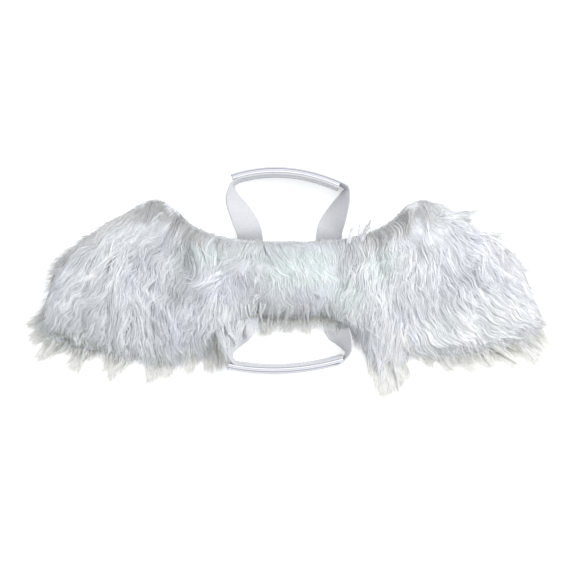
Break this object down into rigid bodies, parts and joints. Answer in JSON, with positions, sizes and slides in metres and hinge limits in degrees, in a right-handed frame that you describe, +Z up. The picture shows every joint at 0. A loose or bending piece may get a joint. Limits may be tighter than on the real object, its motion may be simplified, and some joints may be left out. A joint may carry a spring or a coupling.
{
  "type": "pet angel wings",
  "caption": "Padded white faux-fur angel wings joined by a bridge, with neck and chest strap loops closed by hook-and-loop tape, worn on a small pet's back.",
  "frame": {"origin": "middle of the bridge's flat back, which lies on the pet's back and here on the floor", "axes": "+X along the span towards the wing on the right of the picture, +Y towards the neck strap, +Z up out of the fur"},
  "size_m": [0.409, 0.1762, 0.0247],
  "materials": {
    "fur": "long soft pile, cool white",
    "webbing": "woven, matte, cool white",
    "closure_tape": "hook and loop tape, matte white"
  },
  "bodies": {
    "root": {"left_wing": "fur", "right_wing": "fur", "bridge": "fur", "neck_strap_left": "webbing", "neck_strap_right": "webbing", "chest_strap_left": "webbing", "chest_strap_right": "webbing", "neck_loop_tape": "closure_tape", "neck_hook_tape": "closure_tape", "chest_loop_tape": "closure_tape", "chest_hook_tape": "closure_tape"}
  },
  "joints": []
}
